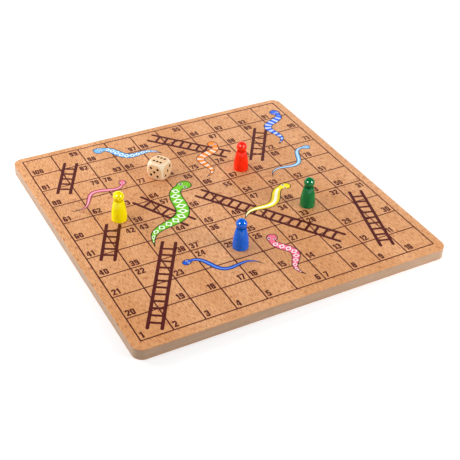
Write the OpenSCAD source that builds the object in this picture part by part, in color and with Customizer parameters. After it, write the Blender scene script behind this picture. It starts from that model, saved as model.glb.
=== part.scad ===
// Snakes and ladders set: a veneered board with its print, four turned pawns and a die.
// Millimetres. Z is up, X runs along the first row of squares, and the origin is under the board's middle.

/* [Board] */
// Side of one square of the grid
cell = 24.5; // [18:0.5:40]
// Plain border between the grid and the board's edge
margin = 7.5; // [4:0.5:20]
// How far the print sits behind the middle of the board
print_shift = 1.5; // [0:0.1:3]
// Thickness of the fibreboard core
core_t = 8; // [3:0.5:18]
// Thickness of the veneer on each face
veneer_t = 0.6; // [0.3:0.1:1.5]
// Radius of the board's corners in plan
corner_r = 8; // [3:0.5:20]
// Bevel that eases the outer edge of each face
arris = 0.3; // [0.1:0.05:1]

/* [Print] */
// Thickness of the ink
ink_t = 0.05; // [0.02:0.01:0.2]
// Width of the grid's lines
line_w = 1; // [0.4:0.1:2]
// Distance between the middles of a ladder's rails
ladder_w = 10.1; // [6:0.1:14]
// Width of a ladder's rails
rail_w = 2.6; // [1:0.1:4]
// Width of a ladder's rungs
rung_w = 2.2; // [0.8:0.1:3]
// Body width of the largest snake
big_snake_w = 12.6; // [9:0.1:15]
// Body width of the middling snakes
mid_snake_w = 8.4; // [5:0.1:10]
// Body width of the slim snakes
slim_snake_w = 4.6; // [3:0.1:6]

/* [Pawns] */
// Height of a pawn
pawn_h = 26; // [21:0.5:40]
// Largest diameter of a pawn's body
pawn_d = 12.5; // [9:0.1:18]
// Diameter of a pawn's head
head_d = 8.7; // [6.5:0.1:12]
// Diameter of the neck under the head
neck_d = 6.2; // [3:0.1:6.4]
// Height of the groove that parts the head from the body
neck_h = 0.5; // [0.3:0.1:2]
// Diameter of the body's top, measured to its rounding
shoulder_d = 7.5; // [6:0.1:8.8]
// Rounding of the body's top edge
shoulder_r = 0.7; // [0.3:0.1:1.2]
// Height of the straight band above the foot
band_h = 2; // [1.9:0.1:8]
// Rounding of the edge that a pawn stands on
foot_r = 0.8; // [0.3:0.1:1.8]

/* [Die] */
// Side of the die
die_side = 16; // [13:0.5:25]
// Rounding of the die's edges
die_edge_r = 2.4; // [0.5:0.1:3]
// Diameter of the round flat that tumbling leaves on each face of the die
die_flat_d = 14.6; // [13.2:0.1:16]
// Diameter of a drilled pip
pip_d = 2.3; // [1:0.1:2.6]
// Distance from one row of pips to the next
pip_pitch = 3.2; // [2.7:0.1:4]
// Depth of a drilled pip
pip_depth = 0.5; // [0.35:0.05:1]
// How far the paint in a pip lies below the die's face
pip_sink = 0.05; // [0.02:0.01:0.25]
// Gap between the paint and the pip's wall
pip_gap = 0.03; // [0.01:0.01:0.1]

/* [Places] */
// Yellow pawn, in squares from the grid's near left corner
yellow_at = [1.69, 5.47]; // [0.3:0.01:9.7]
// Blue pawn, in squares
blue_at = [4.47, 2.50]; // [0.3:0.01:9.7]
// Green pawn, in squares
green_at = [7.55, 3.54]; // [0.3:0.01:9.7]
// Red pawn, in squares
red_at = [6.64, 6.43]; // [0.3:0.01:9.7]
// Die, in squares
die_at = [3.90, 7.20]; // [0.5:0.01:9.5]
// Turn of the die about the vertical
die_turn = -57.4; // [-180:0.1:180]

/* [Hidden] */
$fn = 96;
squares = 10;
grid_side = squares * cell;
board_side = grid_side + 2 * margin;
board_t = core_t + 2 * veneer_t;
seat_z = board_t + ink_t;
arris_used = min(arris, 0.8 * veneer_t);
wood = "#dba873";
dark_ink = "#50242a";

// Foot and head of each ladder in squares, its number of rungs, and the rail below and above them in squares
ladders = [
    [[0.55, 0.29], [2.59, 3.67], 12, 0.23, 0.33],
    [[8.65, 0.60], [9.43, 3.50], 9, 0.25, 0.29],
    [[7.59, 1.52], [4.65, 5.70], 16, 0.27, 0.26],
    [[0.56, 3.68], [1.39, 5.27], 5, 0.24, 0.32],
    [[3.68, 4.33], [2.64, 6.20], 5, 0.28, 0.40],
    [[7.41, 6.68], [8.59, 8.47], 5, 0.38, 0.28],
    [[6.67, 7.45], [4.66, 9.63], 9, 0.22, 0.29],
    [[0.62, 7.61], [1.46, 9.22], 5, 0.24, 0.34]
];

// Head and tail of each snake in squares, its body width, and its swing to the side in squares
snakes = [
    [[4.66, 6.38], [2.10, 3.62], big_snake_w, -0.34],
    [[9.62, 9.50], [8.62, 7.25], mid_snake_w, 0.28],
    [[2.45, 9.56], [4.62, 8.46], mid_snake_w, 0.22],
    [[6.42, 8.46], [5.30, 6.45], mid_snake_w, 0.28],
    [[7.66, 4.78], [5.30, 3.72], mid_snake_w, -0.20],
    [[5.72, 2.62], [5.62, 0.45], mid_snake_w, -0.22],
    [[2.66, 7.52], [0.45, 6.52], slim_snake_w, 0.26],
    [[9.60, 6.62], [7.35, 5.45], slim_snake_w, -0.27],
    [[2.50, 2.50], [4.75, 1.40], slim_snake_w, 0.25]
];

// Bends along a snake, how far the swing dies away to the tail, and points on each side
snake_waves = 1.5;
swing_fade = 0.35;
snake_steps = 48;
// Points crowd towards the head by this power, and the spine's direction is taken over this step
crowding = 1.5;
nudge = 0.002;
// A snake's head has a length and half width of its own, and grows by a share of the body's width
face_len = 5.2;
face_half = 1.5;
face_len_share = 0.75;
face_half_share = 0.36;
// The head is blunter behind the nose, and its front share is clear of the neck
face_blunt = 0.8;
face_clear = 0.6;
// The neck is slimmer than the body, which fills out over this stretch of the spine
neck_slim = 0.62;
fill_out = [0.06, 0.36];

// Turn of each face of the die from the upper one, and its pips in rows; opposite faces add up to seven
die_faces = [
    [[0, 0, 0], [[-1, -1], [0, -1], [1, -1], [-1, 1], [0, 1], [1, 1]]],
    [[90, 0, 0], [[-1, -1], [-1, 1], [0, 0], [1, -1], [1, 1]]],
    [[0, -90, 0], [[-1, -1], [-1, 1], [1, -1], [1, 1]]],
    [[0, 90, 0], [[-1, 1], [0, 0], [1, -1]]],
    [[-90, 0, 0], [[-1, -1], [1, 1]]],
    [[180, 0, 0], [[0, 0]]]
];

// Place on the face of a point given in squares
function spot(p) = [p.x * cell - grid_side / 2, p.y * cell - grid_side / 2 + print_shift];
function smooth(x) = let(c = min(max(x, 0), 1)) c * c * (3 - 2 * c);
function unit(v) = v / norm(v);

// Middle line of a snake, from the nose at 0 to the tip of the tail at 1
function spine(s, t) =
    let(nose = spot(s[0]), run = spot(s[1]) - nose, side = unit([-run.y, run.x]))
    nose + run * t + side * s[3] * cell * sin(360 * snake_waves * t) * (1 - swing_fade * t);

function spine_rate(s, t) = (spine(s, t + nudge) - spine(s, t - nudge)) / (2 * nudge);

// Half the width of a snake: an egg-shaped head, then a body that tapers to a point
function half_width(s, t) =
    let(
        along = t * norm(spine_rate(s, 0)) / (face_len + face_len_share * s[2]),
        egg = 2 * pow(along, face_blunt) - 1,
        face = along < 1 ? (face_half + face_half_share * s[2]) * sqrt(max(0, 1 - egg * egg)) : 0,
        filled = smooth((t - fill_out[0]) / (fill_out[1] - fill_out[0])),
        body = s[2] / 2 * (1 - pow(t, 3)) * (neck_slim + (1 - neck_slim) * filled)
    )
    along < face_clear ? face : max(face, body);

// Points sit closer together round the head
function step_at(i) = pow(i / snake_steps, crowding);

function flank(s, t, side) =
    let(ahead = unit(spine_rate(s, t)))
    spine(s, t) + side * half_width(s, t) * [-ahead.y, ahead.x];

// Square with rounded corners, centred
module rounded_square(side, r) {
    square([side, side - 2 * r], center = true);
    square([side - 2 * r, side], center = true);
    for (x = [-1, 1], y = [-1, 1])
        translate([x, y] * (side / 2 - r))
            circle(r);
}

// Sheet with rounded corners and a bevel round its upper edge
module eased_sheet(side, r, t, e) {
    section = [
        [-side / 2, 0],
        [side / 2, 0],
        [side / 2, t - e],
        [side / 2 - e, t],
        [-side / 2 + e, t],
        [-side / 2, t - e]
    ];
    for (turn = [0, 90])
        rotate([90, 0, turn])
            linear_extrude(side - 2 * r, center = true)
                polygon(section);
    for (x = [-1, 1], y = [-1, 1])
        translate([x, y, 0] * (side / 2 - r)) {
            cylinder(h = t - e, r = r);
            translate([0, 0, t - e])
                cylinder(h = e, r1 = r, r2 = r - e);
        }
}

module board_core() {
    color("#b39a86")
        translate([0, 0, veneer_t])
            linear_extrude(core_t)
                rounded_square(board_side, corner_r);
}

module face_veneer() {
    color(wood)
        translate([0, 0, veneer_t + core_t])
            eased_sheet(board_side, corner_r, veneer_t, arris_used);
}

module back_veneer() {
    color(wood)
        translate([0, 0, veneer_t])
            mirror([0, 0, 1])
                eased_sheet(board_side, corner_r, veneer_t, arris_used);
}

// Lines of the grid, centred on the edges of the squares
module grid_lines() {
    reach = grid_side + line_w;
    for (i = [0 : squares]) {
        across = spot([i, squares / 2]);
        along = spot([squares / 2, i]);
        translate(across)
            square([line_w, reach], center = true);
        translate(along)
            square([reach, line_w], center = true);
    }
}

// One ladder, with round rail ends and its rungs spread evenly between the rails
module ladder_lines(ladder) {
    foot = spot(ladder[0]);
    run = spot(ladder[1]) - foot;
    length = norm(run);
    gaps = ladder[2] - 1;
    first = ladder[3] * cell;
    rung_pitch = (length - first - ladder[4] * cell) / gaps;
    translate(foot)
        rotate(atan2(run.y, run.x)) {
            for (y = [-1, 1] * ladder_w / 2)
                translate([0, y]) {
                    translate([0, -rail_w / 2])
                        square([length, rail_w]);
                    for (x = [0, length])
                        translate([x, 0])
                            circle(d = rail_w);
                }
            for (i = [0 : gaps])
                translate([first + rung_pitch * i, 0])
                    square([rung_w, ladder_w], center = true);
        }
}

module snake_outline(s) {
    left = [for (i = [0 : snake_steps]) flank(s, step_at(i), 1)];
    right = [for (i = [snake_steps - 1 : -1 : 1]) flank(s, step_at(i), -1)];
    polygon(concat(left, right));
}

module ink(shade) {
    color(shade)
        translate([0, 0, board_t])
            linear_extrude(ink_t)
                children();
}

// The inks lie side by side: the grid stops at the ladders, and both stop at the snakes
module grid_print() {
    ink(dark_ink)
        difference() {
            grid_lines();
            for (l = ladders)
                ladder_lines(l);
            for (s = snakes)
                snake_outline(s);
        }
}

module ladder_print(i) {
    ink(dark_ink)
        difference() {
            ladder_lines(ladders[i]);
            for (s = snakes)
                snake_outline(s);
        }
}

module snake_print(i, shade) {
    ink(shade)
        snake_outline(snakes[i]);
}

// Half section of a pawn: foot, straight band, bowed flank, rounded shoulder, neck and ball head
module pawn_section() {
    head_z = pawn_h - head_d / 2;
    body_h = head_z - sqrt(pow(head_d / 2, 2) - pow(neck_d / 2, 2)) - neck_h;
    waist = (pawn_d - shoulder_d) / 2;
    bow_h = body_h - band_h;
    bow_r = (pow(waist, 2) + pow(bow_h, 2)) / (2 * waist);
    bow = [pawn_d / 2 - bow_r, band_h];
    // The shoulder's rounding touches the bowed flank and the flat top
    round_y = body_h - shoulder_r;
    round_at = [bow.x + sqrt(pow(bow_r - shoulder_r, 2) - pow(round_y - bow.y, 2)), round_y];
    touch = bow + bow_r * unit(round_at - bow);
    translate([0, foot_r])
        square([pawn_d / 2, band_h - foot_r]);
    square([pawn_d / 2 - foot_r, band_h]);
    translate([pawn_d / 2 - foot_r, foot_r])
        circle(foot_r);
    intersection() {
        translate(bow)
            circle(bow_r, $fn = 720);
        translate([0, band_h])
            square([pawn_d / 2, touch.y - band_h]);
    }
    translate(round_at)
        circle(shoulder_r);
    translate([0, band_h])
        square([round_at.x, bow_h]);
    square([neck_d / 2, head_z]);
    intersection() {
        translate([0, head_z])
            circle(d = head_d);
        translate([0, head_z - head_d])
            square(2 * head_d);
    }
}

module pawn(at, shade) {
    color(shade)
        translate([spot(at).x, spot(at).y, seat_z])
            rotate_extrude()
                pawn_section();
}

module at_die() {
    translate([spot(die_at).x, spot(die_at).y, seat_z + die_side / 2])
        rotate(die_turn)
            children();
}

// Runs once for each pip, with the drill's bottom at the origin
module at_pips() {
    for (face = die_faces)
        rotate(face[0])
            for (pip = face[1])
                translate([pip.x * pip_pitch, pip.y * pip_pitch, die_side / 2 - pip_depth])
                    children();
}

// Bar with the die's rounded section; three crossed bars leave every edge rounded, and a ball the corners
module die_bar(turn) {
    rotate(turn)
        linear_extrude(die_side, center = true)
            rounded_square(die_side, die_edge_r);
}

module die() {
    ball_d = norm([die_side, die_flat_d]);
    color("#f0d9b0")
        at_die()
            difference() {
                intersection() {
                    die_bar([0, 0, 0]);
                    die_bar([90, 0, 0]);
                    die_bar([0, 90, 0]);
                    sphere(d = ball_d);
                }
                at_pips()
                    cylinder(h = 2 * pip_depth, d = pip_d);
            }
}

module die_pips() {
    color("#1c1a19")
        at_die()
            at_pips()
                cylinder(h = pip_depth - pip_sink, d = pip_d - 2 * pip_gap);
}

board_core();
face_veneer();
back_veneer();
grid_print();
ladder_print(0);  // ladder_1_to_38
ladder_print(1);  // ladder_9_to_31
ladder_print(2);  // ladder_13_to_56
ladder_print(3);  // ladder_40_to_59
ladder_print(4);  // ladder_44_to_63
ladder_print(5);  // ladder_68_to_89
ladder_print(6);  // ladder_74_to_96
ladder_print(7);  // ladder_80_to_99
snake_print(0, "#7cc52b");  // green_snake
snake_print(1, "#2f66d6");  // blue_snake
snake_print(2, "#79b7e8");  // sky_snake
snake_print(3, "#f28a2a");  // orange_snake
snake_print(4, "#f7de1f");  // yellow_snake
snake_print(5, "#ea6c86");  // pink_snake
snake_print(6, "#de6f8d");  // slim_pink_snake
snake_print(7, "#84bfec");  // slim_sky_snake
snake_print(8, "#2563cc");  // slim_blue_snake
pawn(yellow_at, "#f6d800");  // yellow_pawn
pawn(blue_at, "#1653b8");  // blue_pawn
pawn(green_at, "#12713f");  // green_pawn
pawn(red_at, "#e8260f");  // red_pawn
die();
die_pips();
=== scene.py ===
import math

import bmesh
import bpy
import numpy as np
from mathutils import Matrix, Vector


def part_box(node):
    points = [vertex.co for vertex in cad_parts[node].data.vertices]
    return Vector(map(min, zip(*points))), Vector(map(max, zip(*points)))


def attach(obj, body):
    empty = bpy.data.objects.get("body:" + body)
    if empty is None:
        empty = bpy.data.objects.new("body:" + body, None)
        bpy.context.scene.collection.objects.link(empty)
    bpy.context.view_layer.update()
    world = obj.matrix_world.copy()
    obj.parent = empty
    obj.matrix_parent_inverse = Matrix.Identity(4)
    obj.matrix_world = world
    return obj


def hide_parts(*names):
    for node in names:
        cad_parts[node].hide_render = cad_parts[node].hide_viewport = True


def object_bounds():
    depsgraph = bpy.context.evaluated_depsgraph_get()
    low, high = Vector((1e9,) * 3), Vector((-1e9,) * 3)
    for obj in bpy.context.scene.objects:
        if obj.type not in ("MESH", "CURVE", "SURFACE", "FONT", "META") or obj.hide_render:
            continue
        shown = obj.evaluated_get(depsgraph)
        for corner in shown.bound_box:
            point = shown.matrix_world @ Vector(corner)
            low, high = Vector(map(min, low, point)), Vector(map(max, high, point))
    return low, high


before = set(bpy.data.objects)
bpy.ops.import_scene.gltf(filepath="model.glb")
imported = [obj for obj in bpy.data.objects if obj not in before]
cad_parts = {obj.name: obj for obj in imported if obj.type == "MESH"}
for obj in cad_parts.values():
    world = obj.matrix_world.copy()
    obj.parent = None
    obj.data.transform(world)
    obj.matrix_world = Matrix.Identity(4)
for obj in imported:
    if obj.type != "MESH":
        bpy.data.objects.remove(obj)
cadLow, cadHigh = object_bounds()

mm = 0.001
tiny = 0.001 * mm
scene = bpy.context.scene
scene.view_settings.view_transform = "Standard"

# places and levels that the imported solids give
gridLow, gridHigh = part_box("grid_print")
faceLow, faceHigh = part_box("face_veneer")
faceTop = faceHigh.z
inkTop = gridHigh.z
lineWidth = 1.0 * mm
squaresAcross = 10
squareSize = (gridHigh.x - gridLow.x - lineWidth) / squaresAcross


def onGrid(x, y):
    # place on the face of a point given in squares from the grid's near left corner
    edge = lineWidth / 2
    return Vector((gridLow.x + edge + x * squareSize, gridLow.y + edge + y * squareSize))


print("frame loaded, one square is", round(squareSize / mm, 2), "mm")


# small helpers for node trees
def addNode(tree, kind, inputs=None, **settings):
    node = tree.nodes.new(kind)
    for key, value in settings.items():
        setattr(node, key, value)
    for key, value in (inputs or {}).items():
        if isinstance(value, bpy.types.NodeSocket):
            tree.links.new(value, node.inputs[key])
        else:
            node.inputs[key].default_value = value
    return node


def calc(tree, operation, *values):
    return addNode(tree, "ShaderNodeMath", dict(enumerate(values)), operation=operation).outputs[0]


def times(tree, first, second):
    return calc(tree, "MULTIPLY", first, second)


def fade(tree, value, start, end):
    # 0 at start, 1 at end, smooth between them; end may be the smaller
    inputs = {"Value": value, "From Min": start, "From Max": end}
    return addNode(tree, "ShaderNodeMapRange", inputs, interpolation_type="SMOOTHSTEP").outputs[0]


def blendColor(tree, factor, first, second):
    inputs = {0: factor, 6: first, 7: second}
    return addNode(tree, "ShaderNodeMix", inputs, data_type="RGBA").outputs[2]


def grain(tree, vector, sizes, detail=2.0, rough=0.5):
    # noise whose blotches have these sizes in millimetres along x, y and z
    scale = tuple(1 / (size * mm) for size in sizes)
    stretched = addNode(tree, "ShaderNodeVectorMath", {0: vector, 1: scale}, operation="MULTIPLY")
    inputs = {"Vector": stretched.outputs[0], "Scale": 1.0, "Detail": detail, "Roughness": rough}
    return addNode(tree, "ShaderNodeTexNoise", inputs).outputs[0]


def newGroup(name, inputs):
    # inputs are labels by kind; each use of the group sets them all
    group = bpy.data.node_groups.new(name, "ShaderNodeTree")
    for kind, labels in inputs.items():
        for label in labels:
            group.interface.new_socket(label, in_out="INPUT", socket_type="NodeSocket" + kind)
    return group, group.nodes.new("NodeGroupInput").outputs


def endGroup(group, outputs):
    for label in outputs:
        kind = "NodeSocketColor" if label == "Color" else "NodeSocketFloat"
        group.interface.new_socket(label, in_out="OUTPUT", socket_type=kind)
    addNode(group, "NodeGroupOutput", outputs)
    return group


def useGroup(tree, group, inputs):
    return addNode(tree, "ShaderNodeGroup", inputs, node_tree=group).outputs


def bareTree(owner):
    owner.use_nodes = True
    owner.node_tree.nodes.clear()
    return owner.node_tree


def newMaterial(name, specular=0.5):
    material = bpy.data.materials.new(name)
    tree = bareTree(material)
    shader = addNode(tree, "ShaderNodeBsdfPrincipled", {"Specular IOR Level": specular})
    addNode(tree, "ShaderNodeOutputMaterial", {"Surface": shader.outputs[0]})
    place = addNode(tree, "ShaderNodeTexCoord").outputs["Object"]
    return material, tree, shader, place


def dress(tree, shader, color, roughness, height, relief):
    # colour, roughness and bump of one surface; relief is the bump's depth and strength
    depth, strength = relief
    bump = addNode(tree, "ShaderNodeBump", {"Height": height, "Distance": depth, "Strength": strength})
    tree.links.new(color, shader.inputs["Base Color"])
    tree.links.new(roughness, shader.inputs["Roughness"])
    tree.links.new(bump.outputs[0], shader.inputs["Normal"])


def tint(hexCode):
    # sRGB hex code to a linear colour
    parts = [int(hexCode[i:i + 2], 16) / 255 for i in (0, 2, 4)]
    linear = [p / 12.92 if p <= 0.04045 else ((p + 0.055) / 1.055) ** 2.4 for p in parts]
    return (*linear, 1.0)


def addObject(name, data):
    item = bpy.data.objects.new(name, data)
    scene.collection.objects.link(item)
    return item


def makePiece(name, mesh, material, body, stands=(), at=(0, 0, 0), turn=0):
    piece = addObject(name, mesh)
    piece.location = at
    piece.rotation_euler.z = turn
    mesh.materials.append(material)
    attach(piece, body)
    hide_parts(*stands)
    return piece


def finishMesh(build, name, sharpAngle):
    # smooth faces with creases above the given angle
    mesh = bpy.data.meshes.new(name)
    bmesh.ops.recalc_face_normals(build, faces=build.faces)
    build.to_mesh(mesh)
    build.free()
    mesh.shade_smooth()
    mesh.set_sharp_from_angle(angle=math.radians(sharpAngle))
    return mesh


def meshAsSeen(helper):
    # the mesh of a helper with its curves filled and its modifiers applied
    return bpy.data.meshes.new_from_object(helper.evaluated_get(bpy.context.evaluated_depsgraph_get()))


# camera at the photograph's viewing angle
cameraView = {
    "place": (-0.30296, -0.55313, 0.44639),
    "aim": (-0.0099, -0.03725, 0.0092),
    "roll": 2.24,  # degrees
    "lens": 74.43,
    "sensor": 36,
    "nearest": 0.01,
}


def makeCamera():
    camera = addObject("camera", bpy.data.cameras.new("camera"))
    place = Vector(cameraView["place"])
    look = (Vector(cameraView["aim"]) - place).to_track_quat("-Z", "Y").to_matrix().to_4x4()
    roll = Matrix.Rotation(math.radians(cameraView["roll"]), 4, "Z")
    camera.matrix_world = Matrix.Translation(place) @ look @ roll
    camera.data.lens = cameraView["lens"]
    camera.data.sensor_width = cameraView["sensor"]
    camera.data.clip_start = cameraView["nearest"]
    scene.camera = camera


makeCamera()

# studio: a backdrop that is white low down behind the board, a dim room elsewhere, softboxes to the
# left and right of the camera, panels round the board and a white floor; the panels show in no
# gloss, and two lights beside the softboxes show in the gloss of the pawns alone
studio = {
    "panels": {
        "left_softbox": {"place": (-0.90, -0.08, 0.60), "size": 0.38, "level": 0.37},
        "right_softbox": {"place": (0.45, -0.61, 0.355), "size": 0.27, "level": 0.42},
        "edge_panel": {"place": (0.44, -0.36, 0.12), "size": 0.16, "level": 0.36},
        "side_panel": {"place": (-0.44, 0.42, 0.24), "size": 0.36, "level": 0.72},
        "back_panel": {"place": (0.30, 0.52, 0.40), "size": 0.56, "level": 0.49},
    },
    "glossLights": {
        "left_gloss": {"place": (-0.86, -0.25, 0.59), "size": 0.44, "level": 1.60},
        "right_gloss": {"place": (0.42, -0.61, 0.35), "size": 0.33, "level": 1.60},
    },
    "tent": 0.30,  # light from all round
    "roomGloss": 0.04,  # the dim room in a gloss
    "whiteBehind": (-0.1, 0.7),  # from the room to the white backdrop
    "whiteBelow": (0.66, 0.44),
    "floorSize": 8.0,
    "floorGap": 0.2 * mm,
    "floorShade": 0.60,
    "floorGlow": (0.46, 0.92),  # near the board and far from it
    "glowReach": (0.22, 0.60),
}
white = (1, 1, 1, 1)
glossPieces = bpy.data.collections.new("gloss_pieces")


def seenShare(tree):
    # 1 for rays from the camera and for mirror and glass rays, 0 for light that falls on the object
    path = addNode(tree, "ShaderNodeLightPath").outputs
    share = calc(tree, "MAXIMUM", path["Is Camera Ray"], path["Is Glossy Ray"])
    return calc(tree, "MAXIMUM", share, path["Is Transmission Ray"])


def makePanel(name, panel):
    # the level is the light that the panel throws on a white sheet in the middle that faces it
    lamp = bpy.data.lights.new(name, "AREA")
    lamp.size = panel["size"]
    place = Vector(panel["place"])
    lamp.energy = panel["level"] * (math.pi * place.length) ** 2
    holder = addObject(name, lamp)
    holder.location = place
    holder.rotation_euler = place.to_track_quat("Z", "Y").to_euler()
    holder.visible_camera = False
    return holder


def makeLights():
    for name, panel in studio["panels"].items():
        makePanel(name, panel).visible_glossy = False
    for name, panel in studio["glossLights"].items():
        holder = makePanel(name, panel)
        holder.visible_diffuse = False
        holder.light_linking.receiver_collection = glossPieces


def makeBackdrop():
    world = bpy.data.worlds.new("backdrop")
    scene.world = world
    tree = bareTree(world)
    way = addNode(tree, "ShaderNodeTexCoord").outputs["Generated"]
    _, behind, up = addNode(tree, "ShaderNodeSeparateXYZ", {0: way}).outputs
    behindShare = fade(tree, behind, *studio["whiteBehind"])
    belowShare = fade(tree, up, *studio["whiteBelow"])
    seen = times(tree, behindShare, belowShare)
    seen = calc(tree, "MAXIMUM", seen, studio["roomGloss"])
    seen = calc(tree, "MAXIMUM", seen, addNode(tree, "ShaderNodeLightPath").outputs["Is Camera Ray"])
    spread = {"Value": seenShare(tree), "To Min": studio["tent"], "To Max": seen}
    strength = addNode(tree, "ShaderNodeMapRange", spread).outputs[0]
    sky = addNode(tree, "ShaderNodeBackground", {"Color": white, "Strength": strength})
    addNode(tree, "ShaderNodeOutputWorld", {"Surface": sky.outputs[0]})


def floorMaterial():
    material = bpy.data.materials.new("whiteFloor")
    tree = bareTree(material)
    shade = studio["floorShade"]
    matt = addNode(tree, "ShaderNodeBsdfDiffuse", {"Color": (shade, shade, shade, 1)})
    spot = addNode(tree, "ShaderNodeTexCoord").outputs["Object"]
    away = addNode(tree, "ShaderNodeVectorMath", {0: spot}, operation="LENGTH").outputs["Value"]
    near, far = studio["floorGlow"]
    level = calc(tree, "MULTIPLY_ADD", fade(tree, away, *studio["glowReach"]), far - near, near)
    glow = times(tree, seenShare(tree), level)
    light = addNode(tree, "ShaderNodeEmission", {"Color": white, "Strength": glow})
    both = addNode(tree, "ShaderNodeAddShader", {0: matt.outputs[0], 1: light.outputs[0]})
    addNode(tree, "ShaderNodeOutputMaterial", {"Surface": both.outputs[0]})
    return material


def makeFloor():
    build = bmesh.new()
    bmesh.ops.create_grid(build, x_segments=1, y_segments=1, size=studio["floorSize"] / 2)
    mesh = bpy.data.meshes.new("floor")
    build.to_mesh(mesh)
    build.free()
    floor = addObject("floor", mesh)
    floor.location.z = cadLow.z - studio["floorGap"]
    mesh.materials.append(floorMaterial())


makeLights()
makeBackdrop()
makeFloor()
print("camera and studio are set")


# beech: a soft tone over the sheet, fine lines, and short dark rays along the grain
beechGrain = {
    "tone": (26, 110, 26),  # sizes in millimetres along x, y and z; the grain runs along y
    "lines": (0.8, 22, 0.8),
    "pores": (0.3, 1.6, 0.3),
    "rays": (0.46, 4.6, 0.46),
    "rayEdge": (0.47, 0.68),
    "toneShare": 0.7,
    "lineShare": 0.5,
    "deepEdge": (0.38, 0.82),
    "poreRough": 0.12,
    "rayRough": 0.06,
    "rayDip": -0.6,
}


def makeBeechFigure():
    look = beechGrain
    group, given = newGroup("beechFigure", {
        "Vector": ("Vector",),
        "Color": ("Pale", "Deep", "Ray"),
        "Float": ("Ray Amount", "Polish"),
    })
    place = given["Vector"]
    tone = grain(group, place, look["tone"], detail=3)
    lines = grain(group, place, look["lines"], detail=4, rough=0.65)
    pores = grain(group, place, look["pores"])
    rays = fade(group, grain(group, place, look["rays"], detail=1), *look["rayEdge"])
    toned = times(group, tone, look["toneShare"])
    lined = times(group, lines, look["lineShare"])
    deep = fade(group, calc(group, "ADD", toned, lined), *look["deepEdge"])
    wood = blendColor(group, deep, given["Pale"], given["Deep"])
    rayShare = times(group, rays, given["Ray Amount"])
    color = blendColor(group, rayShare, wood, given["Ray"])
    rough = calc(group, "MULTIPLY_ADD", rays, look["rayRough"], given["Polish"])
    rough = calc(group, "MULTIPLY_ADD", pores, look["poreRough"], rough)
    dips = calc(group, "MULTIPLY_ADD", rays, look["rayDip"], pores)
    return endGroup(group, {"Color": color, "Roughness": rough, "Height": dips})


# ink: a film that thins a little over the wood's rays and breaks up in tiny specks
inkWear = {
    "rays": (0.75, 3.4, 0.75),  # sizes in millimetres
    "rayEdge": (0.50, 0.70),
    "specks": (0.22, 0.4, 0.22),
    "speckEdge": (0.60, 0.78),
    "cloud": (6, 9, 6),
    "cloudShare": 0.08,
    "rough": 0.42,
    "thinRough": 0.20,
}


def makeInkFilm():
    look = inkWear
    inputs = {"Vector": ("Vector",), "Color": ("Ink", "Thin"), "Float": ("Specks",)}
    group, given = newGroup("inkFilm", inputs)
    place = given["Vector"]
    rays = fade(group, grain(group, place, look["rays"], detail=1), *look["rayEdge"])
    specks = fade(group, grain(group, place, look["specks"]), *look["speckEdge"])
    thin = times(group, calc(group, "MAXIMUM", rays, specks), given["Specks"])
    cloud = grain(group, place, look["cloud"])
    thin = calc(group, "MULTIPLY_ADD", cloud, look["cloudShare"], thin)
    color = blendColor(group, thin, given["Ink"], given["Thin"])
    rough = calc(group, "MULTIPLY_ADD", thin, look["thinRough"], look["rough"])
    height = calc(group, "SUBTRACT", 1.0, thin)
    return endGroup(group, {"Color": color, "Roughness": rough, "Height": height})


# paint on a turned piece: faint lathe rings, fibres that show through, uneven gloss, a worn foot
paintWear = {
    "rings": (40, 40, 0.45),  # sizes in millimetres
    "fibres": (0.9, 0.9, 14),
    "cloud": (3.2, 3.2, 5),
    "chips": (0.9, 0.9, 0.5),
    "fibreShare": 0.5,
    "cloudShare": 0.6,
    "patchEdge": (0.42, 0.72),
    "patchShare": 0.45,
    "footReach": (0.55 * mm, 0.10 * mm),
    "chipEdge": (0.56, 0.66),
    "wornShare": 0.7,
    "rough": 0.12,
    "cloudRough": 0.10,
    "wornRough": 0.4,
    "ringRelief": 0.35,
    "fibreRelief": 0.65,
}


def makeTurnedPaint():
    look = paintWear
    inputs = {"Vector": ("Vector",), "Color": ("Paint", "Deep", "Wood")}
    group, given = newGroup("turnedPaint", inputs)
    place = given["Vector"]
    rings = grain(group, place, look["rings"])
    fibres = grain(group, place, look["fibres"], detail=3)
    cloud = grain(group, place, look["cloud"])
    patch = times(group, cloud, look["cloudShare"])
    patch = calc(group, "MULTIPLY_ADD", fibres, look["fibreShare"], patch)
    patch = fade(group, patch, *look["patchEdge"])
    deepShare = times(group, patch, look["patchShare"])
    paint = blendColor(group, deepShare, given["Paint"], given["Deep"])
    height = addNode(group, "ShaderNodeSeparateXYZ", {0: place}).outputs[2]
    foot = fade(group, height, *look["footReach"])
    chips = fade(group, grain(group, place, look["chips"], detail=3), *look["chipEdge"])
    worn = times(group, foot, chips)
    woodShare = times(group, worn, look["wornShare"])
    color = blendColor(group, woodShare, paint, given["Wood"])
    rough = calc(group, "MULTIPLY_ADD", cloud, look["cloudRough"], look["rough"])
    rough = calc(group, "MULTIPLY_ADD", worn, look["wornRough"], rough)
    ringRelief = times(group, rings, look["ringRelief"])
    relief = calc(group, "MULTIPLY_ADD", fibres, look["fibreRelief"], ringRelief)
    return endGroup(group, {"Color": color, "Roughness": rough, "Height": relief})


# printed snake skin, drawn on the map that each snake's mesh carries: millimetres along the
# spine, across it and in from the outline
skinPattern = {
    "thinnest": 0.05,  # millimetres
    "headBlend": (0.0, 1.5),  # millimetres behind the head
    "shadeEdge": (0.25, 1.0),
    "lozengeWide": 1.05,
    "lozengeLong": 0.95,
    "lozengeEdge": (0.88, 0.80),
    "coreEdge": (0.50, 0.42),
    "ringEdge": (0.58, 0.66),
    "slitEdge": (0.90, 0.95),
    "stripeEdge": (1.3, 0.7),
    "eyeWhite": (0.9, 0.9, 0.88, 1.0),
    "eyeEdge": (1.08, 0.92),
    "pupilEdge": (0.76, 0.60),
    "rimEdge": (1.15, 0.85),
}


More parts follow.
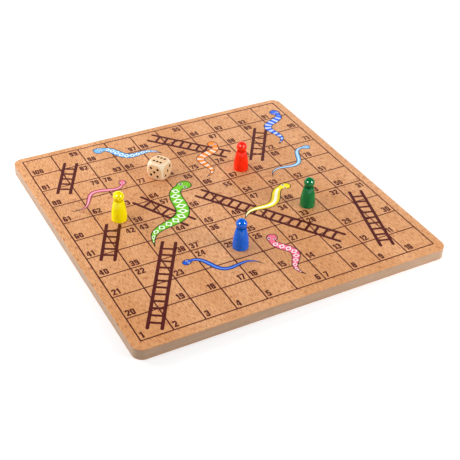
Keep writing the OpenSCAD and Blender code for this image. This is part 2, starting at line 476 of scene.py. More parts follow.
def makeSnakeSkin():
    look = skinPattern
    marks = ("Rim", "Pitch", "Lozenges", "Bands", "Stripe", "Stripe Half")
    face = ("Head", "Eye Along", "Eye Across", "Eye")
    inputs = {"Color": ("Skin", "Shade", "Mark", "Line"), "Float": marks + face}
    group, given = newGroup("snakeSkin", inputs)
    mapped = addNode(group, "ShaderNodeAttribute", attribute_name="snakeMap").outputs["Vector"]
    along, across, inward = addNode(group, "ShaderNodeSeparateXYZ", {0: mapped}).outputs
    aside = calc(group, "ABSOLUTE", across)
    halfWidth = calc(group, "MAXIMUM", calc(group, "ADD", aside, inward), look["thinnest"])
    share = calc(group, "DIVIDE", aside, halfWidth)
    beat = calc(group, "FRACT", calc(group, "DIVIDE", along, given["Pitch"]))
    offBeat = calc(group, "ABSOLUTE", calc(group, "SUBTRACT", beat, 0.5))
    offBeat = times(group, offBeat, 2.0)
    onBody = fade(group, calc(group, "SUBTRACT", along, given["Head"]), *look["headBlend"])

    def mark(value, amount, color, under):
        factor = times(group, times(group, value, amount), onBody)
        return blendColor(group, factor, under, color)

    shaded = fade(group, share, *look["shadeEdge"])
    color = blendColor(group, shaded, given["Skin"], given["Shade"])
    wide = times(group, share, look["lozengeWide"])
    reach = calc(group, "ADD", wide, times(group, offBeat, look["lozengeLong"]))
    lozenge = fade(group, reach, *look["lozengeEdge"])
    color = mark(lozenge, given["Lozenges"], given["Mark"], color)
    core = fade(group, reach, *look["coreEdge"])
    color = mark(core, given["Lozenges"], given["Shade"], color)
    ring = fade(group, offBeat, *look["ringEdge"])
    color = mark(ring, given["Bands"], given["Mark"], color)
    slit = fade(group, offBeat, *look["slitEdge"])
    color = mark(slit, given["Bands"], given["Shade"], color)
    stripeShare = calc(group, "DIVIDE", share, given["Stripe Half"])
    stripe = fade(group, stripeShare, *look["stripeEdge"])
    color = mark(stripe, given["Stripe"], given["Mark"], color)

    offAlong = calc(group, "POWER", calc(group, "SUBTRACT", along, given["Eye Along"]), 2.0)
    offAcross = calc(group, "POWER", calc(group, "SUBTRACT", aside, given["Eye Across"]), 2.0)
    offEye = calc(group, "SQRT", calc(group, "ADD", offAlong, offAcross))
    away = calc(group, "DIVIDE", offEye, given["Eye"])
    eye = fade(group, away, *look["eyeEdge"])
    color = blendColor(group, eye, color, look["eyeWhite"])
    pupil = fade(group, away, *look["pupilEdge"])
    color = blendColor(group, pupil, color, given["Line"])
    rimShare = calc(group, "DIVIDE", inward, given["Rim"])
    rim = fade(group, rimShare, *look["rimEdge"])
    return endGroup(group, {"Color": blendColor(group, rim, color, given["Line"])})


beechFigure = makeBeechFigure()
inkFilm = makeInkFilm()
turnedPaint = makeTurnedPaint()
snakeSkin = makeSnakeSkin()


def beechLook(tree, place, finish):
    return useGroup(tree, beechFigure, {
        "Vector": place,
        "Pale": tint(finish["pale"]),
        "Deep": tint(finish["deep"]),
        "Ray": tint(finish["ray"]),
        "Ray Amount": finish["rayAmount"],
        "Polish": finish["polish"],
    })


def inkMaterial(name, finish):
    material, tree, shader, place = newMaterial(name, finish["specular"])
    film = useGroup(tree, inkFilm, {
        "Vector": place,
        "Ink": tint(finish["ink"]),
        "Thin": tint(finish["thin"]),
        "Specks": finish["specks"],
    })
    dress(tree, shader, film["Color"], film["Roughness"], film["Height"], finish["relief"])
    return material


# board: fibreboard core between two beech veneers
boardFinish = {
    "cornerRadius": 8 * mm,
    "cornerSteps": 20,
    "arris": 0.3 * mm,
    "arrisSteps": 4,
    "flatRing": 0.6 * mm,  # flat strip inside the arris, so that the big face shades flat
    "pale": "e3ab7b",
    "deep": "d0935d",
    "ray": "ae663a",
    "rayAmount": 0.95,
    "polish": 0.42,
    "relief": (0.02 * mm, 0.5),
    "sharpAngle": 35,  # degrees
}
coreFinish = {
    "pale": "bc9b7f",
    "dark": "a38166",
    "fibres": (0.9, 0.9, 0.35),  # sizes in millimetres
    "layers": (14, 14, 0.7),
    "cloud": (16, 16, 6),
    "fibreShare": 0.6,
    "layerShare": 0.45,
    "cloudShare": 0.25,
    "denseShare": 0.10,
    "denseFrom": 0.45,  # share of the way from the middle to a face
    "darkEdge": (0.35, 0.95),
    "rough": 0.36,
    "fibreRough": 0.2,
    "relief": (0.06 * mm, 0.6),
}


def roundedSquare(half, radius):
    points = []
    steps = boardFinish["cornerSteps"]
    for corner in range(4):
        turn = corner * math.pi / 2
        middle = Matrix.Rotation(turn, 2) @ Vector((half - radius, half - radius))
        for i in range(steps + 1):
            angle = turn + math.pi / 2 * i / steps
            points.append(middle + radius * Vector((math.cos(angle), math.sin(angle))))
    return points


def panelMesh(name, rings):
    # a panel with rounded corners, from rings of (inset, height) that run from bottom to top
    half = cadHigh.x
    radius = boardFinish["cornerRadius"]
    build = bmesh.new()
    loops = []
    for inset, z in rings:
        outline = roundedSquare(half - inset, radius - inset)
        loops.append([build.verts.new((*p, z)) for p in outline])
    for low, high in zip(loops, loops[1:]):
        for i in range(len(low)):
            j = (i + 1) % len(low)
            build.faces.new((low[i], low[j], high[j], high[i]))
    build.faces.new(loops[0])
    build.faces.new(loops[-1])
    return finishMesh(build, name, boardFinish["sharpAngle"])


def sheetRings(inner, outer):
    # from the glued side to the eased outer side; outer may lie below inner
    arris = boardFinish["arris"]
    sign = 1 if outer > inner else -1
    rings = [(0, inner), (0, outer - sign * arris)]
    for i in range(1, boardFinish["arrisSteps"] + 1):
        angle = math.pi / 2 * i / boardFinish["arrisSteps"]
        inset = arris * (1 - math.cos(angle))
        rings.append((inset, outer - sign * arris * (1 - math.sin(angle))))
    rings.append((arris + boardFinish["flatRing"], outer))
    return rings


def veneerMaterial():
    material, tree, shader, place = newMaterial("beechVeneer")
    wood = beechLook(tree, place, boardFinish)
    dress(tree, shader, wood["Color"], wood["Roughness"], wood["Height"], boardFinish["relief"])
    return material


def coreMaterial():
    # sanded fibreboard: specks of fibre in faint layers, denser and darker towards the faces
    look = coreFinish
    material, tree, shader, place = newMaterial("fibreboard")
    fibres = grain(tree, place, look["fibres"], detail=4, rough=0.65)
    layers = grain(tree, place, look["layers"])
    cloud = grain(tree, place, look["cloud"])
    low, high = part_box("board_core")
    half = (high.z - low.z) / 2
    level = addNode(tree, "ShaderNodeSeparateXYZ", {0: place}).outputs[2]
    offMiddle = calc(tree, "ABSOLUTE", calc(tree, "SUBTRACT", level, (low.z + high.z) / 2))
    dense = fade(tree, offMiddle, look["denseFrom"] * half, half)
    mixed = times(tree, fibres, look["fibreShare"])
    mixed = calc(tree, "MULTIPLY_ADD", layers, look["layerShare"], mixed)
    mixed = calc(tree, "MULTIPLY_ADD", cloud, look["cloudShare"], mixed)
    mixed = calc(tree, "MULTIPLY_ADD", dense, look["denseShare"], mixed)
    dark = fade(tree, mixed, *look["darkEdge"])
    color = blendColor(tree, dark, tint(look["pale"]), tint(look["dark"]))
    rough = calc(tree, "MULTIPLY_ADD", fibres, look["fibreRough"], look["rough"])
    dress(tree, shader, color, rough, fibres, look["relief"])
    return material


def makeBoard():
    veneer = veneerMaterial()
    low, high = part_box("board_core")
    core = panelMesh("core_panel", [(0, low.z), (0, high.z)])
    makePiece("core_panel", core, coreMaterial(), "board", ["board_core"])
    face = panelMesh("face_sheet", sheetRings(faceLow.z, faceHigh.z))
    makePiece("face_sheet", face, veneer, "board", ["face_veneer"])
    backLow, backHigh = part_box("back_veneer")
    back = panelMesh("back_sheet", sheetRings(backHigh.z, backLow.z))
    makePiece("back_sheet", back, veneer, "board", ["back_veneer"])


makeBoard()
print("board is veneered")

# print: grid and ladders keep their solids and get ink, numbers and snakes are films of their own
printInk = {
    "ink": "4c080a",
    "thin": "74301f",
    "rim": "2c1512",
    "specks": 0.2,
    "specular": 0.3,
    "relief": (0.01 * mm, 0.5),
    "sharpAngle": 30,  # degrees
}
darkInk = inkMaterial("darkInk", printInk)
for nodeName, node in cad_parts.items():
    if nodeName == "grid_print" or nodeName.startswith("ladder"):
        node.data.materials[0] = darkInk

# numbers: squarish bold figures, as outlines of points in shares of the figure's height; a third
# value is the radius of a round corner
figures = {
    "height": 6.25 * mm,
    "width": 0.50,
    "stroke": 0.205,
    "gap": 0.085,
    "outerCorner": 0.2,
    "innerCorner": 0.07,
    "cornerSteps": 5,
    "fromSide": 0.08,  # shares of a square
    "fromLine": 0.08,
    "fromTop": 0.105,
    "fromRight": 0.10,
    "lowerRight": (6, 17, 18, 19, 30, 38, 71, 83, 90, 97),
    "upperLeft": (22, 24, 25, 26, 28, 36, 43, 47, 57, 69, 78, 89),
    "upperRight": (31, 32, 34, 42, 55, 59, 65, 79, 82, 87, 95, 99),
    "movedAside": {57: 0.19, 72: 0.06, 76: 0.05},  # clear of the print beside them
}


def frameOutline(left, low, right, high, radius):
    return [(left, low, radius), (right, low, radius), (right, high, radius), (left, high, radius)]


def figureOutlines(digit):
    w = figures["width"]
    s = figures["stroke"]
    r = w - s
    t = 1 - s
    big = figures["outerCorner"]
    small = figures["innerCorner"]
    if digit == "0":
        return [frameOutline(0, 0, w, 1, big), frameOutline(s, s, r, t, small)]
    if digit == "1":
        stem = 0.12
        return [[
            (stem, 0), (stem + s, 0), (stem + s, 1), (0.15, 1), (0, 0.84), (0, 0.66), (stem, 0.74),
        ]]
    if digit == "2":
        return [[
            (0, 0), (w, 0), (w, s), (0.22, s), (w, 0.55, 0.1), (w, 1, big), (0, 1, big), (0, 0.7),
            (s, 0.7), (s, t, small), (r, t, small), (r, 0.6, 0.05), (0, 0.17, 0.03),
        ]]
    if digit == "3":
        return [[
            (0, 0.28), (0, 0, big), (w, 0, big), (w, 0.5, 0.1), (w - 0.06, 0.52), (w, 0.54, 0.1),
            (w, 1, big), (0, 1, big), (0, 0.72), (s, 0.72), (s, t, small), (r, t, small), (r, 0.6, 0.05),
            (0.15, 0.6), (0.15, 0.44), (r, 0.44, 0.05), (r, s, small), (s, s, small), (s, 0.28),
        ]]
    if digit == "4":
        stem = 0.28
        low = 0.2
        high = 0.36
        return [
            [
                (stem, 0), (stem + s, 0), (stem + s, low), (0.54, low), (0.54, high), (stem + s, high),
                (stem + s, 1), (0.24, 1), (0, 0.38), (0, low), (stem, low),
            ],
            [(0.14, high), (stem, high), (stem, 0.73)],
        ]
    if digit == "5":
        stem = 0.02
        shoulder = 0.64
        return [[
            (stem, 1), (w - 0.01, 1), (w - 0.01, t), (stem + s, t), (stem + s, shoulder),
            (w, shoulder, big), (w, 0, big), (0, 0, big), (0, 0.27), (s, 0.27), (s, s, small),
            (r, s, small), (r, shoulder - s, small), (stem, shoulder - s),
        ]]
    if digit == "6":
        lip = 0.73
        bowl = 0.62
        return [
            [
                (w, lip), (w, 1, big), (0, 1, big), (0, 0, big), (w, 0, big), (w, bowl, big), (s, bowl),
                (s, t, small), (r, t, small), (r, lip),
            ],
            frameOutline(s, s, r, bowl - s, small),
        ]
    if digit == "7":
        return [[(0, 1), (w, 1), (w, t), (0.28, 0), (0.09, 0), (w - 0.19, t), (0, t)]]
    if digit == "8":
        waist = 0.12
        return [
            [
                (0, 0, big), (w, 0, big), (w, 0.52, waist), (w - 0.05, 0.535), (w, 0.55, waist),
                (w, 1, big), (0, 1, big), (0, 0.55, waist), (0.05, 0.535), (0, 0.52, waist),
            ],
            frameOutline(s, s, r, 0.45, small),
            frameOutline(s, 0.61, r, t, small),
        ]
    # a nine is a six turned over
    return [[(w - x, 1 - y, *corner) for x, y, *corner in outline] for outline in figureOutlines("6")]


def roundCorners(outline):
    points = []
    steps = figures["cornerSteps"]
    for i, (x, y, *radius) in enumerate(outline):
        corner = Vector((x, y))
        if not radius:
            points.append(corner)
            continue
        before = Vector(outline[i - 1][:2]) - corner
        after = Vector(outline[(i + 1) % len(outline)][:2]) - corner
        start = corner + before.normalized() * min(*radius, before.length / 2)
        end = corner + after.normalized() * min(*radius, after.length / 2)
        for k in range(steps + 1):
            t = k / steps
            points.append(start * (1 - t) ** 2 + corner * 2 * t * (1 - t) + end * t ** 2)
    return points


def numberStart(number, length):
    # lower left corner of a square's number
    row, step = divmod(number - 1, squaresAcross)
    column = step if row % 2 == 0 else squaresAcross - 1 - step
    tall = figures["height"] / squareSize
    x = column + figures["fromSide"] + figures["movedAside"].get(number, 0)
    y = row + figures["fromLine"]
    if number in figures["lowerRight"] or number in figures["upperRight"]:
        x = column + 1 - figures["fromRight"] - length / squareSize
    if number in figures["upperLeft"] or number in figures["upperRight"]:
        y = row + 1 - figures["fromTop"] - tall
    return onGrid(x, y)


def makeNumbers():
    curve = bpy.data.curves.new("square_numbers", "CURVE")
    curve.dimensions = "2D"
    curve.fill_mode = "BOTH"
    curve.extrude = (inkTop - faceTop) / 2
    height = figures["height"]
    shapes = {d: [roundCorners(o) for o in figureOutlines(d)] for d in "0123456789"}
    widths = {d: max(p.x for o in shapes[d] for p in o) for d in shapes}
    for number in range(1, squaresAcross ** 2 + 1):
        digits = str(number)
        length = height * (sum(widths[d] for d in digits) + figures["gap"] * (len(digits) - 1))
        start = numberStart(number, length)
        for digit in digits:
            for outline in shapes[digit]:
                line = curve.splines.new("POLY")
                line.points.add(len(outline) - 1)
                for point, p in zip(line.points, outline):
                    point.co = (start.x + p.x * height, start.y + p.y * height, 0, 1)
                line.use_cyclic_u = True
            start.x += height * (widths[digit] + figures["gap"])
    drawn = addObject("square_numbers_outline", curve)
    filled = meshAsSeen(drawn)
    bpy.data.objects.remove(drawn)
    build = bmesh.new()
    build.from_mesh(filled)
    bpy.data.meshes.remove(filled)
    bmesh.ops.remove_doubles(build, verts=build.verts, dist=tiny)
    bmesh.ops.translate(build, verts=build.verts, vec=(0, 0, (inkTop + faceTop) / 2))
    mesh = finishMesh(build, "square_numbers", printInk["sharpAngle"])
    mesh.materials.clear()
    makePiece("square_numbers", mesh, darkInk, "board")


makeNumbers()
print("squares are numbered")

# snakes: head and tail in squares, body width in millimetres, swing to the side in squares
snakes = {
    "green_snake": {
        "ends": ((4.66, 6.38), (2.10, 3.62)), "width": 12.6, "swing": -0.34,
        "skin": "7ccb1e", "shade": "5cae12", "mark": "f4fbe6", "lozenges": 1.0, "pitch": 7.2,
    },
    "blue_snake": {
        "ends": ((9.62, 9.50), (8.62, 7.25)), "width": 8.4, "swing": 0.28,
        "skin": "2f6be8", "shade": "1f4fc4", "mark": "e6effd", "bands": 1.0, "pitch": 5.4,
    },
    "sky_snake": {
        "ends": ((2.45, 9.56), (4.62, 8.46)), "width": 8.4, "swing": 0.22,
        "skin": "79b9ee", "shade": "5a9fdd", "mark": "f2f8fe", "lozenges": 1.0, "pitch": 5.0,
    },
    "orange_snake": {
        "ends": ((6.42, 8.46), (5.30, 6.45)), "width": 8.4, "swing": 0.28,
        "skin": "fb8a22", "shade": "ea6d10", "mark": "fdf3e6", "bands": 1.0, "pitch": 5.8,
    },
    "yellow_snake": {
        "ends": ((7.66, 4.78), (5.30, 3.72)), "width": 8.4, "swing": -0.20,
        "skin": "f8e11c", "shade": "dcbc0a", "mark": "fdfbe0", "stripe": 1.0, "pitch": 6.0,
    },
    "pink_snake": {
        "ends": ((5.72, 2.62), (5.62, 0.45)), "width": 8.4, "swing": -0.22,
        "skin": "f2738c", "shade": "dc4f72", "mark": "fdeef1", "lozenges": 1.0, "pitch": 5.4,
    },
    "slim_pink_snake": {
        "ends": ((2.66, 7.52), (0.45, 6.52)), "width": 4.6, "swing": 0.26,
        "skin": "e8728f", "shade": "cc4a70", "mark": "f8c4d2", "stripe": 1.0, "pitch": 5.0,
    },
    "slim_sky_snake": {
        "ends": ((9.60, 6.62), (7.35, 5.45)), "width": 4.6, "swing": -0.27,
        "skin": "84c2f2", "shade": "5aa2de", "mark": "e4f2fd", "stripe": 1.0, "pitch": 5.0,
    },
    "slim_blue_snake": {
        "ends": ((2.50, 2.50), (4.75, 1.40)), "width": 4.6, "swing": 0.25,
        "skin": "1b58d0", "shade": "123f9e", "mark": "7fb0f4", "stripe": 0.9, "pitch": 5.0,
    },
}
snakeForm = {
    "waves": 1.5,
    "swingFade": 0.35,
    "steps": 96,
    "crowding": 1.5,
    "nudge": 0.002,
    "faceLength": 5.2 * mm,
    "faceHalf": 1.5 * mm,
    "faceLengthShare": 0.75,
    "faceHalfShare": 0.36,
    "faceBlunt": 0.8,
    "faceClear": 0.6,
    "neckSlim": 0.62,
    "fillOut": (0.06, 0.36),
    "columns": (-1, -0.9, -0.75, -0.5, -0.25, 0, 0.25, 0.5, 0.75, 0.9, 1),
    "rim": (0.36, 0.03),  # millimetres, and share of the body's width
    "slimWidth": 6,  # millimetres
    "slimStripe": 0.16,  # shares of the body's half width
    "fullStripe": 0.3,
    "headEnd": 0.95,  # shares of the face's length and half width
    "eyeAlong": 0.52,
    "eyeAcross": 0.46,
    "eyeSize": 0.26,
    "specks": 0.35,
}


def spinePoint(snake, t):
    nose, tip = (onGrid(*end) for end in snake["ends"])
    run = tip - nose
    side = Vector((-run.y, run.x)).normalized()
    sway = math.sin(2 * math.pi * snakeForm["waves"] * t) * (1 - snakeForm["swingFade"] * t)
    return nose + run * t + side * snake["swing"] * squareSize * sway


def spineRate(snake, t):
    nudge = snakeForm["nudge"]
    return (spinePoint(snake, t + nudge) - spinePoint(snake, t - nudge)) / (2 * nudge)


def snakeFace(snake):
    # length and half width of the head
    width = snake["width"] * mm
    length = snakeForm["faceLength"] + snakeForm["faceLengthShare"] * width
    return length, snakeForm["faceHalf"] + snakeForm["faceHalfShare"] * width


def snakeHalf(snake, t):
    # half the width: an egg-shaped head, then a body that tapers to a point
    form = snakeForm
    width = snake["width"] * mm
    faceLength, faceHalf = snakeFace(snake)
    along = t * spineRate(snake, 0).length / faceLength
    egg = 2 * along ** form["faceBlunt"] - 1
    face = faceHalf * math.sqrt(max(0, 1 - egg * egg)) if along < 1 else 0
    start, end = form["fillOut"]
    c = min(max((t - start) / (end - start), 0), 1)
    filled = c * c * (3 - 2 * c)
    body = width / 2 * (1 - t ** 3) * (form["neckSlim"] + (1 - form["neckSlim"]) * filled)
    return face if along < form["faceClear"] else max(face, body)


def outlineDistance(points, outline):
    # distance of each point from a closed outline
    starts = np.array(outline)
    runs = np.roll(starts, -1, axis=0) - starts
    away = np.array(points)[:, None, :] - starts[None]
    share = np.clip((away * runs).sum(2) / np.maximum((runs * runs).sum(1), tiny ** 3), 0, 1)
    return np.linalg.norm(away - share[:, :, None] * runs[None], axis=2).min(1)


def snakeMesh(name, snake):
    # a film of ink with rows from the nose to the tail; the skin's map is kept on the points
    form = snakeForm
    rows = []
    walked = 0.0
    last = spinePoint(snake, 0)
    for i in range(form["steps"] + 1):
        t = (i / form["steps"]) ** form["crowding"]
        middle = spinePoint(snake, t)
        walked += (middle - last).length
        last = middle
        ahead = spineRate(snake, t).normalized()
        side = Vector((-ahead.y, ahead.x))
        half = snakeHalf(snake, t)
        columns = (0,) if half < tiny else form["columns"]
        rows.append([(middle + side * half * c, walked, half * c) for c in columns])
    outline = [row[-1][0] for row in rows] + [row[0][0] for row in rows[-2:0:-1]]
    flat = [entry for row in rows for entry in row]
    inward = outlineDistance([p for p, _, _ in flat], outline)
    build = bmesh.new()
    skinMap = build.verts.layers.float_vector.new("snakeMap")
    made = []
    for (p, along, across), edge in zip(flat, inward):
        vert = build.verts.new((p.x, p.y, inkTop))
        vert[skinMap] = (along / mm, across / mm, edge / mm)
        made.append(vert)
    index = 0
    grid = []
    for row in rows:
        grid.append(made[index:index + len(row)])
        index += len(row)
    for first, second in zip(grid, grid[1:]):
        if len(first) == 1 or len(second) == 1:
            tip = first[0] if len(first) == 1 else second[0]
            wide = second if len(first) == 1 else first
            for a, b in zip(wide, wide[1:]):
                build.faces.new((tip, a, b))
            continue
        for j in range(len(first) - 1):
            build.faces.new((first[j], first[j + 1], second[j + 1], second[j]))
    rim = [e for e in build.edges if e.is_boundary]
    skirt = bmesh.ops.extrude_edge_only(build, edges=rim)["geom"]
    lower = [g for g in skirt if isinstance(g, bmesh.types.BMVert)]
    for vert in lower:
        vert.co.z = faceTop
    bottom = [g for g in skirt if isinstance(g, bmesh.types.BMEdge) and g.is_boundary]
    bmesh.ops.contextual_create(build, geom=bottom)
    return finishMesh(build, name, printInk["sharpAngle"])


def snakeMaterial(name, snake):
    material, tree, shader, place = newMaterial(name, printInk["specular"])
    form = snakeForm
    faceLength, faceHalf = (size / mm for size in snakeFace(snake))
    rim, rimShare = form["rim"]
    skin = useGroup(tree, snakeSkin, {
        "Skin": tint(snake["skin"]),
        "Shade": tint(snake["shade"]),
        "Mark": tint(snake["mark"]),
        "Line": tint(printInk["rim"]),
        "Rim": rim + rimShare * snake["width"],
        "Pitch": snake["pitch"],
        "Lozenges": snake.get("lozenges", 0.0),
        "Bands": snake.get("bands", 0.0),
        "Stripe": snake.get("stripe", 0.0),
        "Stripe Half": form["slimStripe"] if snake["width"] < form["slimWidth"] else form["fullStripe"],
        "Head": faceLength * form["headEnd"],
        "Eye Along": faceLength * form["eyeAlong"],
        "Eye Across": faceHalf * form["eyeAcross"],
        "Eye": faceHalf * form["eyeSize"],
    })
    film = useGroup(tree, inkFilm, {
        "Vector": place,
        "Ink": skin["Color"],
        "Thin": skin["Color"],
        "Specks": form["specks"],
    })
    dress(tree, shader, film["Color"], film["Roughness"], film["Height"], printInk["relief"])
    return material


for snakeName, snake in snakes.items():
    mesh = snakeMesh(snakeName + "_film", snake)
    material = snakeMaterial(snakeName + "Ink", snake)
    makePiece(snakeName + "_film", mesh, material, "board", [snakeName])
print("snakes are printed")

# pawns: one turned section, four paints
pawnForm = {
    "headD": 8.7 * mm,
    "neckD": 6.2 * mm,
    "neckH": 0.5 * mm,
    "shoulderD": 7.5 * mm,
    "shoulderR": 0.7 * mm,
    "bandH": 2.0 * mm,
    "footR": 0.8 * mm,
    "footHollow": 0.12 * mm,  # slight dish under the foot
    "footDish": (0.8, 0.6),  # shares of the foot's flat and of the hollow, where the dish bends
    "footSteps": 10,
    "flankSteps": 40,
    "shoulderSteps": 6,
    "shoulderEnd": 70,  # degrees
    "headSteps": 40,
    "chinLift": 6,  # degrees
    "cornerCut": 0.25,
    "steps": 96,
    "sharpAngle": 50,  # degrees
}
pawnFinish = {
    "wood": "d8b98c",
    # painted shade in the crease under the head: how far it reaches and how strong it is
    "paintedShadeReach": (0.75 * mm, 0.2 * mm),
    "paintedShadeShare": 0.6,
    "clearReach": (1.0 * mm, 1.6 * mm),  # from the dull crease to clear gloss
    "coat": 0.8,
    "coatRough": 0.05,
    "specular": 0.05,
    "relief": (0.03 * mm, 0.35),
}
pawnPaints = {
    # each crease colour is painted shade for the crease under the head
    "yellow": {"paint": "ffee00", "deep": "ffe000", "crease": "a87800"},
    "blue": {"paint": "0a66da", "deep": "0858c2", "crease": "041c52"},
    "green": {"paint": "04743c", "deep": "036432", "crease": "02260f"},
    "red": {"paint": "ff2a0a", "deep": "f22008", "crease": "7a0a04"},
}


def arc(middle, radius, start, end, steps):
    angles = [math.radians(start + (end - start) * i / steps) for i in range(steps + 1)]
    return [middle + radius * Vector((math.cos(a), math.sin(a))) for a in angles]


def cutCorners(points, share):
    # keeps both ends and rounds what lies between them
    cut = [points[0]]
    for a, b in zip(points, points[1:]):
        cut += [a * (1 - share) + b * share, a * share + b * (1 - share)]
    return cut + [points[-1]]


def pawnSection(width, height):
    # the turned section from the foot to the crown, and the height of the crease under the head
    form = pawnForm
    headR = form["headD"] / 2
    headMiddle = Vector((0, height - headR))
    neckDrop = math.sqrt(headR ** 2 - (form["neckD"] / 2) ** 2)
    bodyH = headMiddle.y - neckDrop - form["neckH"]
    waist = (width - form["shoulderD"]) / 2
    rise = bodyH - form["bandH"]
    bowR = (waist ** 2 + rise ** 2) / (2 * waist)
    bow = Vector((width / 2 - bowR, form["bandH"]))
    roundY = bodyH - form["shoulderR"]
    roundX = bow.x + math.sqrt((bowR - form["shoulderR"]) ** 2 - (roundY - bow.y) ** 2)
    shoulder = Vector((roundX, roundY))
    lean = math.degrees(math.atan2(shoulder.y - bow.y, shoulder.x - bow.x))
    footMiddle = Vector((width / 2 - form["footR"], form["footR"]))
    dishOut, dishUp = form["footDish"]
    dish = Vector((footMiddle.x * dishOut, form["footHollow"] * dishUp))
    section = [Vector((0, form["footHollow"])), dish]
    section += arc(footMiddle, form["footR"], -90, 0, form["footSteps"])
    section += arc(bow, bowR, 0, lean, form["flankSteps"])
    section += arc(shoulder, form["shoulderR"], lean, form["shoulderEnd"], form["shoulderSteps"])[1:]
    chin = -math.degrees(math.acos(form["neckD"] / form["headD"]))
    neck = form["neckD"] / 2
    head = arc(headMiddle, headR, chin + form["chinLift"], 90, form["headSteps"])
    crease = [section[-1], Vector((neck, bodyH)), Vector((neck, bodyH + form["neckH"])), head[0]]
    section += cutCorners(crease, form["cornerCut"])[1:-1]
    return section + head, bodyH + form["neckH"] / 2


def latheMesh(name, section, steps):
    build = bmesh.new()
    rings = []
    for p in section:
        if p.x < tiny:
            rings.append([build.verts.new((0, 0, p.y))])
            continue
        turns = [2 * math.pi * i / steps for i in range(steps)]
        rings.append([build.verts.new((p.x * math.cos(a), p.x * math.sin(a), p.y)) for a in turns])
    for low, high in zip(rings, rings[1:]):
        for i in range(steps):
            j = (i + 1) % steps
            corners = [low[i % len(low)], low[j % len(low)], high[j % len(high)], high[i % len(high)]]
            build.faces.new(list(dict.fromkeys(corners)))
    return finishMesh(build, name, pawnForm["sharpAngle"])


def pawnMaterial(name, paint, neckZ):
    look = pawnFinish
    material, tree, shader, place = newMaterial(name, look["specular"])
    shader.inputs["Coat Roughness"].default_value = look["coatRough"]
    coat = useGroup(tree, turnedPaint, {
        "Vector": place,
        "Paint": tint(paint["paint"]),
        "Deep": tint(paint["deep"]),
        "Wood": tint(look["wood"]),
    })
    # painted shade: the paint colour darkens towards the crease colour in the crease under the head, and
    # the coat is dull there
    level = addNode(tree, "ShaderNodeSeparateXYZ", {0: place}).outputs[2]
    offNeck = calc(tree, "ABSOLUTE", calc(tree, "SUBTRACT", level, neckZ))
    crease = fade(tree, offNeck, *look["paintedShadeReach"])
    paintedShadeShare = times(tree, crease, look["paintedShadeShare"])
    color = blendColor(tree, paintedShadeShare, coat["Color"], tint(paint["crease"]))
    clear = fade(tree, offNeck, *look["clearReach"])
    tree.links.new(times(tree, clear, look["coat"]), shader.inputs["Coat Weight"])
    dress(tree, shader, color, coat["Roughness"], coat["Height"], look["relief"])
    return material


for shade, paint in pawnPaints.items():
    body = shade + "_pawn"
    low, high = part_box(body)
    section, neckZ = pawnSection(high.x - low.x, high.z - low.z)
    mesh = latheMesh(body + "_turned", section, pawnForm["steps"])
    foot = ((low.x + high.x) / 2, (low.y + high.y) / 2, low.z)
    material = pawnMaterial(shade + "Paint", paint, neckZ)
    pawn = makePiece(body + "_turned", mesh, material, body, [body], foot)
    glossPieces.objects.link(pawn)
print("pawns are turned and painted")

# die: a cube with soft edges, tumbled until each face keeps a round flat
dieForm = {
    "flatD": 14.6 * mm,
    "edgeSoft": 0.85 * mm,
    "rimSoft": 0.35 * mm,
    "cuts": 47,
    "halvings": 40,  # steps in the search for the surface
    "turn": -57.4,  # degrees about the vertical
    "sharpAngle": 40,  # degrees
    "pipD": 2.3 * mm,
    "pipDepth": 0.5 * mm,
    "pipPitch": 3.2 * mm,
    "pipSteps": 28,
}
dieFinish = {
    "pale": "efcba2",
    "deep": "e3b686",
    "ray": "cb9462",
    "rim": "fbe9cc",
    "rimDrop": (0.02 * mm, 0.55 * mm),  # how far below the flat the paler rim starts and is full
    "rimShare": 0.85,
    "rayAmount": 0.3,
    "polish": 0.34,
    "specular": 0.4,
    "relief": (0.02 * mm, 0.4),
}
pipPaint = {
    "ink": "0c0706",
    "thin": "1c120d",
    "specks": 0.2,
    "specular": 0.05,
    "relief": (0.02 * mm, 0.5),
}
# turns of each face from the upper one, about x and y in degrees, and its pips in pitches
dieFaces = (
    ((0, 0), ((-1, -1), (0, -1), (1, -1), (-1, 1), (0, 1), (1, 1))),
    ((90, 0), ((-1, -1), (-1, 1), (0, 0), (1, -1), (1, 1))),
    ((0, -90), ((-1, -1), (-1, 1), (1, -1), (1, 1))),
    ((0, 90), ((-1, 1), (0, 0), (1, -1))),
    ((-90, 0), ((-1, -1), (1, 1))),
    ((180, 0), ((0, 0),)),
)


def softMax(values, softness):
    top = values.max(0)
    return top + softness * np.log(np.exp((values - top) / softness).sum(0))


def dieSurface(ways, half):
    # points where rays from the middle leave the soft cube and the tumbling ball
    ball = math.hypot(half, dieForm["flatD"] / 2)
    near = np.zeros(len(ways))
    far = np.full(len(ways), 2 * half)
    for _ in range(dieForm["halvings"]):
        reach = (near + far) / 2
        points = ways * reach[:, None]
        cube = softMax(np.abs(points.T) - half, dieForm["edgeSoft"])
        outside = softMax(np.array([cube, reach - ball]), dieForm["rimSoft"]) > 0
        far = np.where(outside, reach, far)
        near = np.where(outside, near, reach)
    return ways * near[:, None]


def dieMesh(half):
    build = bmesh.new()
    bmesh.ops.create_cube(build, size=2)
    bmesh.ops.subdivide_edges(build, edges=build.edges, cuts=dieForm["cuts"], use_grid_fill=True)
    ways = np.array([[math.tan(c * math.pi / 4) for c in v.co] for v in build.verts])
    ways /= np.linalg.norm(ways, axis=1)[:, None]
    for vert, point in zip(build.verts, dieSurface(ways, half)):
        vert.co = point
    return finishMesh(build, "die_tumbled", dieForm["sharpAngle"])


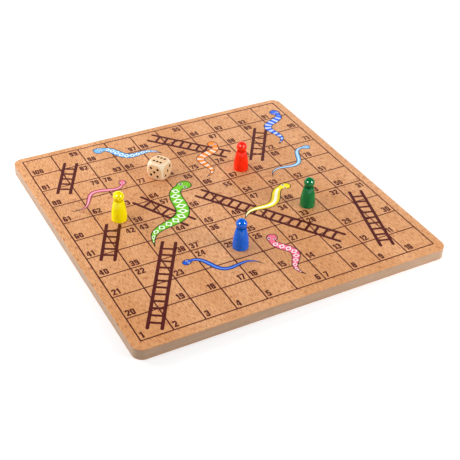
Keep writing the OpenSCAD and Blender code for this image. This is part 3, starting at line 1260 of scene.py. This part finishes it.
def pipDrills(half):
    build = bmesh.new()
    radius = dieForm["pipD"] / 2
    for (aboutX, aboutY), pips in dieFaces:
        face = Matrix.Rotation(math.radians(aboutY), 4, "Y")
        face = face @ Matrix.Rotation(math.radians(aboutX), 4, "X")
        for x, y in pips:
            place = Matrix.Translation((x * dieForm["pipPitch"], y * dieForm["pipPitch"], half))
            bmesh.ops.create_cone(
                build, cap_ends=True, segments=dieForm["pipSteps"], radius1=radius, radius2=radius,
                depth=2 * dieForm["pipDepth"], matrix=face @ place,
            )
    return finishMesh(build, "pip_drills", dieForm["sharpAngle"])


def dieMaterial(half):
    material, tree, shader, place = newMaterial("tumbledWood", dieFinish["specular"])
    wood = beechLook(tree, place, dieFinish)
    # the rims are paler than the flats
    sides = addNode(tree, "ShaderNodeVectorMath", {0: place}, operation="ABSOLUTE").outputs[0]
    x, y, z = addNode(tree, "ShaderNodeSeparateXYZ", {0: sides}).outputs
    reach = calc(tree, "MAXIMUM", calc(tree, "MAXIMUM", x, y), z)
    worn = fade(tree, calc(tree, "SUBTRACT", half, reach), *dieFinish["rimDrop"])
    rimShare = times(tree, worn, dieFinish["rimShare"])
    color = blendColor(tree, rimShare, wood["Color"], tint(dieFinish["rim"]))
    dress(tree, shader, color, wood["Roughness"], wood["Height"], dieFinish["relief"])
    return material


def makeDie():
    low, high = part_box("die")
    half = (high.z - low.z) / 2
    middle = (low + high) / 2
    solid = addObject("die_blank", dieMesh(half))
    drills = addObject("die_drills", pipDrills(half))
    drill = solid.modifiers.new("drill", "BOOLEAN")
    drill.operation = "DIFFERENCE"
    drill.solver = "EXACT"
    drill.object = drills
    drilled = meshAsSeen(solid)
    for helper in (solid, drills):
        bpy.data.objects.remove(helper)
    drilled.materials.clear()
    drilled.shade_smooth()
    drilled.set_sharp_from_angle(angle=math.radians(dieForm["sharpAngle"]))
    turn = math.radians(dieForm["turn"])
    makePiece("die_tumbled", drilled, dieMaterial(half), "die", ["die"], middle, turn)
    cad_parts["die_pips"].data.materials[0] = inkMaterial("pipPaint", pipPaint)


makeDie()
print("die is tumbled and drilled")
